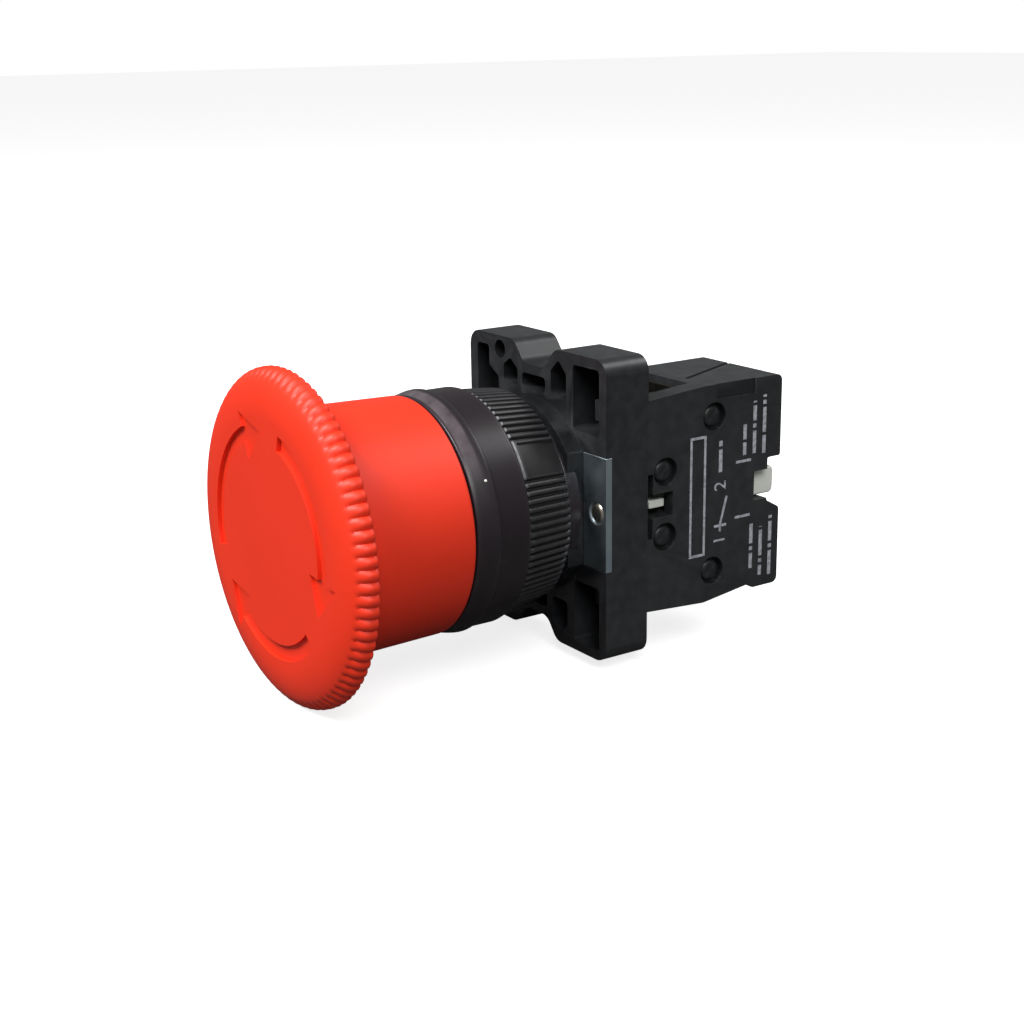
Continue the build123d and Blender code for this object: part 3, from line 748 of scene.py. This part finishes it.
def make_gate_mark():
    """The small pale moulding gate on the bezel's flare."""
    gate = drum("gate mark", 0.17, "Y", -0.2, 0.2, (0, 0), 12)
    gate.data.transform(Matrix.Rotation(pi / 2, 4, "Z"))
    gate.data.transform(Matrix.Translation((14.72 * MM, -5.3 * MM, 0)))
    gate.data.transform(Matrix.Rotation(-radians(GATE_MARK_ANGLE), 4, "Y"))
    gate.name = "bezel_gate_mark"
    soften(gate, 0.05)
    dress(gate, WHITE, "white_plastic", "root")


def make_nut():
    front, back = 0.2, 6.5
    rows = [(11.05, front + 0.2), (11.3, front), (13.7, front), (14.05, front + 0.06)]
    rows += [(14.2, front + 0.3), (14.17, front + 0.65), (14.12, 1.1), (14.06, 2.0), (13.84, 4.5)]
    rows += [(13.68, back - 0.5), (13.5, back - 0.15), (13.2, back), (11.3, back), (11.05, back - 0.2)]
    rows += [rows[0]]
    nut = turned("ribbed_nut", rows, NUT_COLUMNS, closed=True)
    step = 360.0 / NUT_COLUMNS
    offset = round(NUT_PAD_START / step)

    def column_of(p):
        return (round(degrees(atan2(p.z, p.x)) / step) - offset) % NUT_QUARTER

    edit(nut)
    for phase, depth in enumerate(RIB_DEPTHS):
        if depth == 0:
            continue

        def in_groove(p):
            if hypot(p.x, p.z) < 13.3 or p.y < front + 0.2:
                return False
            column = column_of(p)
            return column >= NUT_PAD_COLUMNS and (column - NUT_PAD_COLUMNS) % NUT_RIB_COLUMNS == phase

        pick(nut, "VERT", in_groove)
        k = 1 - depth / 14.0
        bpy.ops.transform.resize(value=(k, 1, k), center_override=(0, 0, 0))

    def in_pad(p):
        return hypot(p.x, p.z) > 13.3 and p.y > 0.95 and 0 < column_of(p) < NUT_PAD_COLUMNS

    # the pads lie a little below the rib tops, behind a thin rim
    pick(nut, "VERT", in_pad)
    k = 1 - PAD_DEPTH / 14.0
    bpy.ops.transform.resize(value=(k, 1, k), center_override=(0, 0, 0))
    done()
    shade(nut, 35)
    dress(nut, NUT, "bezel_plastic", "root", "ring_nut")


# ------------------------------------------------------------------ mounting base

def base_outline():
    w, h, v = BASE_HALF_W, BASE_HALF_H, VALLEY_Z
    top = [(-w, h), (-4.6, h), (-2.4, v), (2.2, v), (4.2, h), (w, h)]
    radii = [2.0, 2.0, 2.0, 2.0, 2.0, 2.0]
    bottom = [(x, -z) for x, z in reversed(top)]
    return rounded(top + bottom, radii + radii, 7)


POCKETS = (
    [(-12.9, 17.2), (-10.2, 17.2), (-10.2, 14.6), (-8.1, 13.4), (-8.1, 9.6), (-12.9, 9.6)],
    [(-6.9, 13.0), (-6.9, 15.2), (-5.4, 16.2), (-3.8, 15.0), (-3.8, 13.0)],
    [(-2.8, 12.9), (-2.8, 14.8), (2.2, 14.8), (2.2, 12.9)],
    [(3.4, 12.9), (3.4, 15.9), (5.0, 17.5), (6.6, 15.9), (6.6, 12.9)],
    [(8.0, 9.5), (8.0, 17.4), (13.2, 17.4), (13.2, 9.5)],
)


def both_ways(side, lo, hi):
    """The range from lo to hi, or its mirror image when side is -1."""
    return sorted((side * lo, side * hi))


def carve_pockets(base, up):
    pocket_back = BASE_FRONT_Y + POCKET_DEPTH
    front = BASE_FRONT_Y - 0.5
    for outline in POCKETS:
        shape = rounded([(x, up * z) for x, z in outline], 0.5, 3)
        carve(base, prism("pocket", shape, "Y", front, pocket_back))
    at = (EJECTOR_HOLE_X, up * EJECTOR_HOLE_Z)
    carve(base, drum("ejector hole", EJECTOR_HOLE_R, "Y", front, pocket_back, at, 32))


def carve_side(base, side):
    """The plate's seat, the screw's hole and the slots for a contact block, on one side."""
    plate_z = PLATE_HALF_H + PLATE_FIT
    x0, x1 = both_ways(side, PLATE_X[0] - PLATE_FIT, 15.5)
    seat_y = (BOSS_FRONT_Y - 1, BASE_FRONT_Y + PLATE_THICK)
    carve(base, brick("plate seat", (x0, seat_y[0], -plate_z), (x1, seat_y[1], plate_z)))
    at = (side * SCREW_X, 0)
    carve(base, drum("screw hole", SCREW_HOLE_R, "Y", 10, 18, at, 32))
    carve(base, drum("screw sink", SCREW_SINK_R, "Y", SCREW_SINK_Y, 18, at, 48))
    x0, x1 = both_ways(side, 8.6, 10.75)
    carve(base, brick("rib slot", (x0, PLAIN_BORE_BACK_Y, -0.95), (x1, 18, 0.95)))
    x0, x1 = both_ways(side, 10.6, 13.75)
    carve(base, brick("pin slot", (x0, 13.6, -0.65), (x1, 18, 0.65)))
    hook_y = BASE_FRONT_Y + POCKET_DEPTH - 1
    for up in (1, -1):
        x0, x1 = both_ways(side, 8.7, 12.5)
        z0, z1 = both_ways(up, 10.3, 13.1)
        carve(base, brick("hook slot", (x0, hook_y, z0), (x1, 18, z1)))


def make_base():
    base = prism("base_plate", base_outline(), "Y", BASE_FRONT_Y, BASE_BACK_Y)
    axis = (0, 0)
    weld(base, drum("boss", BOSS_R, "Y", BOSS_FRONT_Y, BASE_FRONT_Y + 1, axis, 128))
    carve(base, drum("neck bore", NECK_BORE_R, "Y", 7, NECK_BORE_BACK_Y, axis, 128))
    carve(base, drum("plain bore", PLAIN_BORE_R, "Y", 8, PLAIN_BORE_BACK_Y, axis, 128))
    carve(base, drum("centre hole", CENTRE_HOLE_R, "Y", 8, 18, axis, 128))
    for up in (1, -1):
        carve_pockets(base, up)
    for side in (1, -1):
        carve_side(base, side)
    soften(base, 0.22, 3)
    dress(base, BASE, "base_plastic", "root", "mounting_base")


# ------------------------------------------------------------------ clamp plates and screws

def hole_cutter(front):
    """A drilled and countersunk hole."""
    sink_r = SCREW_R + 0.3
    profile = [(sink_r, front - 0.3), (sink_r, front), (SCREW_R, front + 0.3), (SCREW_R, 12)]
    cutter = turned("screw hole", profile, 48)
    cutter.data.transform(Matrix.Translation((SCREW_X * MM, 0, 0)))
    return cutter


def make_clamp_plates():
    y0 = BASE_FRONT_Y
    lo = (PLATE_X[0], y0, -PLATE_HALF_H)
    plate = brick("clamp plate", lo, (PLATE_X[1], y0 + PLATE_THICK, PLATE_HALF_H))
    carve(plate, hole_cutter(y0))
    soften(plate, 0.09, 2)
    left = copy_of(plate, "clamp_plate_l", flip=(-1, 1, 1))
    plate.name = "clamp_plate_r"
    dress(plate, ZINC, "zinc_steel", "root", "clamp_plate_right")
    dress(left, ZINC, "zinc_steel", "root", "clamp_plate_left")


def make_clamp_screws():
    r = SCREW_R
    profile = [(0.25, 10.62), (0.8, 10.66), (1.1, 10.85)]
    for y in SCREW_THREAD_YS:
        profile += [(r, y), (r - 0.18, y + 0.13), (r, y + 0.26)]
    profile += [(r, 12.3), (1.4, 12.32), (SCREW_HEAD_R, 12.45), (SCREW_HEAD_R, 13.3)]
    profile += [(1.35, 13.48), (0.25, 13.5)]
    screw = turned("clamp screw", profile, 40)
    carve(screw, brick("slot", (-3, 12.9, -0.3), (3, 14, 0.3)))
    shade(screw, 30)
    right = copy_of(screw, "right screw", move=(SCREW_X, 0, 0))
    left = copy_of(screw, "left screw", move=(-SCREW_X, 0, 0))
    bpy.data.objects.remove(screw)
    pair = join("base_clamp_screws", right, left)
    dress(pair, YELLOW_ZINC, "zinc_steel", "root", "clamp_screws")


# ------------------------------------------------------------------ contact block

def block_outline():
    """The block's side view, (y, z)."""
    h = BLOCK_HALF_H
    points = [
        (BASE_BACK_Y, h - 0.7), (23.0, h - 0.2), (26.0, h), (BLOCK_BACK_Y, h), (BLOCK_BACK_Y, 3.4),
        (36.2, 3.4), (36.2, -2.2), (BLOCK_BACK_Y, -3.4), (BLOCK_BACK_Y, -13.5), (34.1, -13.5),
        (33.5, -12.9), (26.0, -h), (BASE_BACK_Y, -h + 0.6),
    ]
    radii = [0.01, 3.0, 3.0, 0.8, 0.3, 0.2, 0.2, 0.5, 0.8, 0.3, 0.4, 3.0, 0.01]
    return rounded(points, radii, 4)


def top_groove():
    """The slanting parting groove across the top of the block."""
    groove = brick("top groove", (-0.3, -7.0, -0.35), (0.3, 7.0, 2.0))
    groove.data.transform(Matrix.Rotation(radians(23.0), 4, "Z"))
    groove.data.transform(Matrix.Translation((6.9 * MM, 33.3 * MM, BLOCK_HALF_H * MM)))
    return groove


def make_housing():
    h = SLIDEWAY_HALF_H
    shell = prism("block_shell", block_outline(), "X", BLOCK_X0, COVER_X0)
    carve(shell, brick("chamber", (2.1, 21.4, -6.6), (14, 33.4, 6.6)))
    carve(shell, brick("slideway", (3.9, 16, -h), (14, 40, h)))
    h = TAIL_WAY_HALF_H
    carve(shell, brick("tail way", (7.9, TAIL_WAY_Y, -h), (14, 40, h)))
    terminal_x, terminal_z = TERMINAL_AT
    for up in (1, -1):
        z0, z1 = both_ways(up, 7.2, 15)
        carve(shell, brick("well", (3.2, 18.2, z0), (11.8, 25.4, z1)))
        z0, z1 = both_ways(up, 5.6, 8.2)
        carve(shell, brick("strip slot", (5.9, 21.55, z0), (14, 22.3, z1)))
        at = (terminal_x, up * terminal_z)
        carve(shell, drum("head seat", 2.0, "Y", 24.4, 30, at))
        carve(shell, drum("driver hole", 2.4, "Y", 29, 40, at))
        z0, z1 = both_ways(up, 10.4, 12.2)
        carve(shell, brick("hook hole", (8.8, 16, z0), (12.4, 18.7, z1)))
    for at in PEGS:
        carve(shell, drum("peg hole", PEG_R, "X", 11.0, 14, at, 32))
    carve(shell, top_groove())
    soften(shell, 0.14, 2)
    dress(shell, BLOCK, "block_plastic", "root", "block_housing")


def make_cover():
    h = TAIL_WAY_HALF_H
    cover = prism("block_side_cover", block_outline(), "X", COVER_X0, BLOCK_X1)
    carve(cover, brick("upper relief", (14.4, 27.6, 12.0), (16, 34.0, 15)))
    carve(cover, brick("window", (12, 16, -SLIDEWAY_HALF_H), (16, 20.9, SLIDEWAY_HALF_H)))
    carve(cover, brick("front slot", (13.6, 16, -4.1), (16, 17.8, 4.1)))
    carve(cover, brick("tail slot", (12, 34.0, -h), (16, 40, h)))
    carve(cover, brick("tail groove", (12, TAIL_WAY_Y, -h), (13.45, 35, h)))
    for at in PEGS:
        carve(cover, drum("peg recess", PEG_RECESS_R, "X", 13.6, 16, at, 48))
        carve(cover, drum("peg hole", PEG_R, "X", 12, 16, at, 48))
    soften(cover, 0.14, 2)
    dress(cover, BLOCK, "block_plastic", "root", "side_cover")


def make_pegs():
    """Four turned pegs with domed heads, modelled along Y and laid along X."""
    profile = [(0.2, -14.3)] + arc((0.75, -13.75), 0.6, 0.55, -90, 0, 6)
    profile += [(PEG_R, -13.4), (PEG_R, -11.0), (0.2, -11.0)]
    peg = turned("peg", profile, 36)
    shade(peg, 30)
    peg.data.transform(Matrix.Rotation(pi / 2, 4, "Z"))
    pegs = [copy_of(peg, "peg copy", move=(0, y, z)) for y, z in PEGS]
    bpy.data.objects.remove(peg)
    dress(join("cover_pegs", *pegs), BLOCK, "block_plastic", "root", "shell_pegs")


def make_tail():
    """The slider's tail, its end drawn in to a smaller face."""
    end_y = TAIL_Y[1]
    tail = brick("tail", (TAIL_X[0], TAIL_Y[0], -TAIL_HALF_H), (TAIL_X[1], end_y, TAIL_HALF_H))
    edit(tail)
    pick(tail, "FACE", lambda p: p.y > end_y - 0.1)
    bpy.ops.mesh.extrude_region_move(TRANSFORM_OT_translate={"value": (0, 0, 0)})
    middle = ((TAIL_X[0] + TAIL_X[1]) / 2 * MM, end_y * MM, 0)
    bpy.ops.transform.resize(value=(0.74, 1, 0.6), center_override=middle)
    pick(tail, "VERT", lambda p: p.y > end_y - 0.05 and abs(p.z) > TAIL_HALF_H - 0.05)
    bpy.ops.transform.translate(value=(0, -TAIL_CHAMFER * MM, 0))
    done()
    soften(tail, 0.3, 3, angle=20)
    return tail


def make_plunger():
    h = SLIDER_HALF_H
    x0, x1 = SLIDER_X
    bar = brick("contact_slider", (x0, 21.5, -h), (x1, 38.2, h))
    weld(bar, brick("nose", (x0, 15.35, -h), (8.0, 22.5, h)))
    weld(bar, brick("rib", (9.2, 17.1, -0.75), (10.6, 22.5, 0.75)))
    weld(bar, brick("wing", (9.3, 28.6, -4.4), (x1, 29.4, 4.4)))
    carve(bar, brick("bridge window", (5.9, 27.4, -3), (9.1, 32.2, 3)))
    weld(bar, brick("pin", (9.8, 18.0, -0.5), (13.6, 20.3, 0.5)))
    soften(bar, 0.12, 3)
    slider = join("contact_slider", bar, make_tail())
    dress(slider, WHITE, "white_plastic", "slider", "contact_plunger")


# ------------------------------------------------------------------ printed marks

def stroke(name, points, width, x):
    """A thin printed line on the side cover through (y, z) points."""
    lines = []
    for (y0, z0), (y1, z1) in zip(points, points[1:]):
        length = hypot(y1 - y0, z1 - z0)
        line = brick(name, (-0.008, 0, -width / 2), (0.008, length, width / 2))
        line.data.transform(Matrix.Rotation(atan2(z1 - z0, y1 - y0), 4, "X"))
        line.data.transform(Matrix.Translation((x * MM, y0 * MM, z0 * MM)))
        lines.append(line)
    return join(name, *lines)


def dashes(y, z0, z1, lengths, x):
    """A row of short bars, the generic stand-in for a line of small print."""
    bars = []
    z = z0
    i = 0
    while z < z1:
        end = min(z + lengths[i % len(lengths)], z1)
        bars.append(stroke("dash", [(y, z), (y, end)], PRINT_BAR, x))
        z = end + PRINT_GAP
        i += 1
    return bars


def digit(text, y, z, height, x):
    deselect()
    bpy.ops.object.text_add()
    label = bpy.context.object
    label.data.body = text
    label.data.size = height * MM * 1.4
    label.data.extrude = 0.008 * MM
    label.data.align_x = "CENTER"
    bpy.ops.object.convert(target="MESH")
    mesh = bpy.context.object
    upright = Matrix(((0, 0, 1, 0), (0, -1, 0, 0), (1, 0, 0, 0), (0, 0, 0, 1)))
    mesh.data.transform(upright)
    mesh.data.transform(Matrix.Translation((x * MM, y * MM, z * MM)))
    mesh.name = "digit " + text
    return mesh


def make_side_marks():
    """Generic marks: terminal numbers, a contact symbol, two ticks, a blank field and bars."""
    x = BLOCK_X1 + 0.004
    w = PRINT_LINE
    e = w / 2
    parts = [
        digit("1", 29.3, -6.1, 1.9, x),
        digit("2", 29.3, 0.95, 1.9, x),
        stroke("contact", [(28.5, -5.0), (28.5, -4.2 - e)], w, x),
        stroke("contact", [(27.5, -4.2), (29.5, -4.2)], w, x),
        stroke("contact", [(28.5, -4.2 + e), (29.5, -0.5)], w, x),
        stroke("tick", [(30.9, 3.55), (33.4, 3.55)], w, x),
        stroke("tick", [(30.9, -3.6), (33.4, -3.6)], w, x),
        stroke("field", [(23.7, -7.7), (23.7, 7.7)], w, x),
        stroke("field", [(25.9, -7.7), (25.9, 7.7)], w, x),
        stroke("field", [(23.7 + e, -7.7 + e), (25.9 - e, -7.7 + e)], w, x),
        stroke("field", [(23.7 + e, 7.7 - e), (25.9 - e, 7.7 - e)], w, x),
    ]
    parts += dashes(28.4, 2.7, 6.8, (2.9, 0.7), x)
    parts += dashes(32.3, 4.3, 8.6, (1.6, 1.9), x)
    parts += dashes(33.9, 4.3, 11.0, (2.9, 0.5, 1.9), x)
    parts += dashes(35.5, 4.1, 11.6, (2.3, 3.2, 0.5, 0.6), x)
    parts += dashes(33.7, -10.8, -4.7, (2.0, 0.5, 2.6), x)
    parts += dashes(35.3, -12.0, -5.5, (1.3, 0.5, 3.4), x)
    parts += dashes(36.9, -12.2, -4.3, (3.2, 0.5, 2.6), x)
    marks = join("side_marks", *parts)
    outward(marks)
    dress(marks, INK, "white_plastic", "root")


# ------------------------------------------------------------------ stage, light and camera

def make_stage():
    """A floor that looks white to the camera and gives little light back to the object."""
    deselect()
    bpy.ops.mesh.primitive_plane_add(size=6, location=(0, 0, FLOOR_Z * MM))
    floor = bpy.context.object
    floor.name = "studio_floor"
    material, nodes, links, shader, place = new_material("pale floor")
    nodes.remove(place)
    seen = add(nodes, "LightPath")
    tones = {"A": (0.1, 0.1, 0.1, 1), "B": (0.6, 0.6, 0.6, 1)}
    tone = add(nodes, "Mix", tones, data_type="RGBA")
    glow = add(nodes, "Math", {1: 0.8}, operation="MULTIPLY")
    wire(
        links,
        (seen, "Is Camera Ray", tone, "Factor"),
        (tone, "Result", shader, "Base Color"),
        (seen, "Is Camera Ray", glow, 0),
        (glow, 0, shader, "Emission Strength"),
    )
    shader.inputs["Emission Color"].default_value = (1, 1, 1, 1)
    shader.inputs["Roughness"].default_value = 0.9
    shader.inputs["Specular IOR Level"].default_value = 0.0
    floor.data.materials.append(material)


def area_light(name, place, target, size, power):
    light = bpy.data.lights.new(name, "AREA")
    light.shape = "DISK"
    light.size = size
    light.energy = power
    lamp = bpy.data.objects.new(name, light)
    bpy.context.scene.collection.objects.link(lamp)
    lamp.location = place
    direction = Vector(target) - Vector(place)
    lamp.rotation_euler = direction.to_track_quat("-Z", "Y").to_euler()


def make_light():
    """A white backdrop for the camera, a dim even fill, and three soft lights from above."""
    world = bpy.data.worlds.new("studio")
    world.use_nodes = True
    nodes = world.node_tree.nodes
    background = nodes["Background"]
    background.inputs["Color"].default_value = (1, 1, 1, 1)
    seen = add(nodes, "LightPath")
    strength = add(nodes, "MapRange", {"To Min": 0.2, "To Max": 1.0})
    wire(
        world.node_tree.links,
        (seen, "Is Camera Ray", strength, "Value"),
        (strength, "Result", background, "Strength"),
    )
    bpy.context.scene.world = world
    area_light("key", (-0.02, -0.4, 0.5), (0, 0, 0), 0.3, 4.8)
    area_light("side", (0.45, -0.2, 0.42), (0, 0, 0), 0.3, 2.1)
    area_light("back", (0.1, 0.4, 0.4), (0, 0.02, 0), 0.25, 0.95)


def make_camera():
    """The camera's azimuth is 56 degrees from the front, seen from a little above."""
    azimuth, elevation, roll = radians(56.27), radians(16.13), radians(-0.88)
    aim = Vector((3.331, 4.798, -0.943)) * MM
    away = Vector((
        sin(azimuth) * cos(elevation), -cos(azimuth) * cos(elevation), sin(elevation)
    ))
    camera_data = bpy.data.cameras.new("camera")
    camera_data.sensor_width = 36.0
    camera_data.lens = 59.21
    camera_data.clip_start = 0.01
    camera = bpy.data.objects.new("camera", camera_data)
    bpy.context.scene.collection.objects.link(camera)
    camera.location = aim + away * 206.05 * MM
    facing = (-away).to_track_quat("-Z", "Y")
    camera.rotation_euler = (facing.to_matrix() @ Matrix.Rotation(roll, 3, "Z")).to_euler()
    bpy.context.scene.camera = camera


NODE_MATERIALS = {
    "cap_hub": RED, "latch_pins": STEEL, "push_rod": STEEL, "push_disc": WHITE, "rod_clip": STEEL,
    "torsion_spring": STEEL, "return_spring": STEEL, "operator_body": BEZEL, "cam_sleeve": WHITE,
    "panel_gasket": RUBBER, "block_hooks": BLOCK, "plunger_springs": STEEL,
    "terminal_upper": BRASS, "terminal_lower": BRASS, "fixed_tips": SILVER, "wire_clamps": DARK_STEEL,
    "terminal_screws": ZINC, "contact_bridge": BRASS, "bridge_tips": SILVER, "bridge_spring": STEEL,
}

make_camera()
make_light()
make_stage()
for node_name, node_material in NODE_MATERIALS.items():
    dress_node(node_name, node_material)
make_head()
make_bezel()
make_gate_mark()
make_nut()
make_base()
make_clamp_plates()
make_clamp_screws()
make_housing()
make_cover()
make_pegs()
make_plunger()
make_side_marks()
bpy.context.scene.view_settings.view_transform = "Standard"
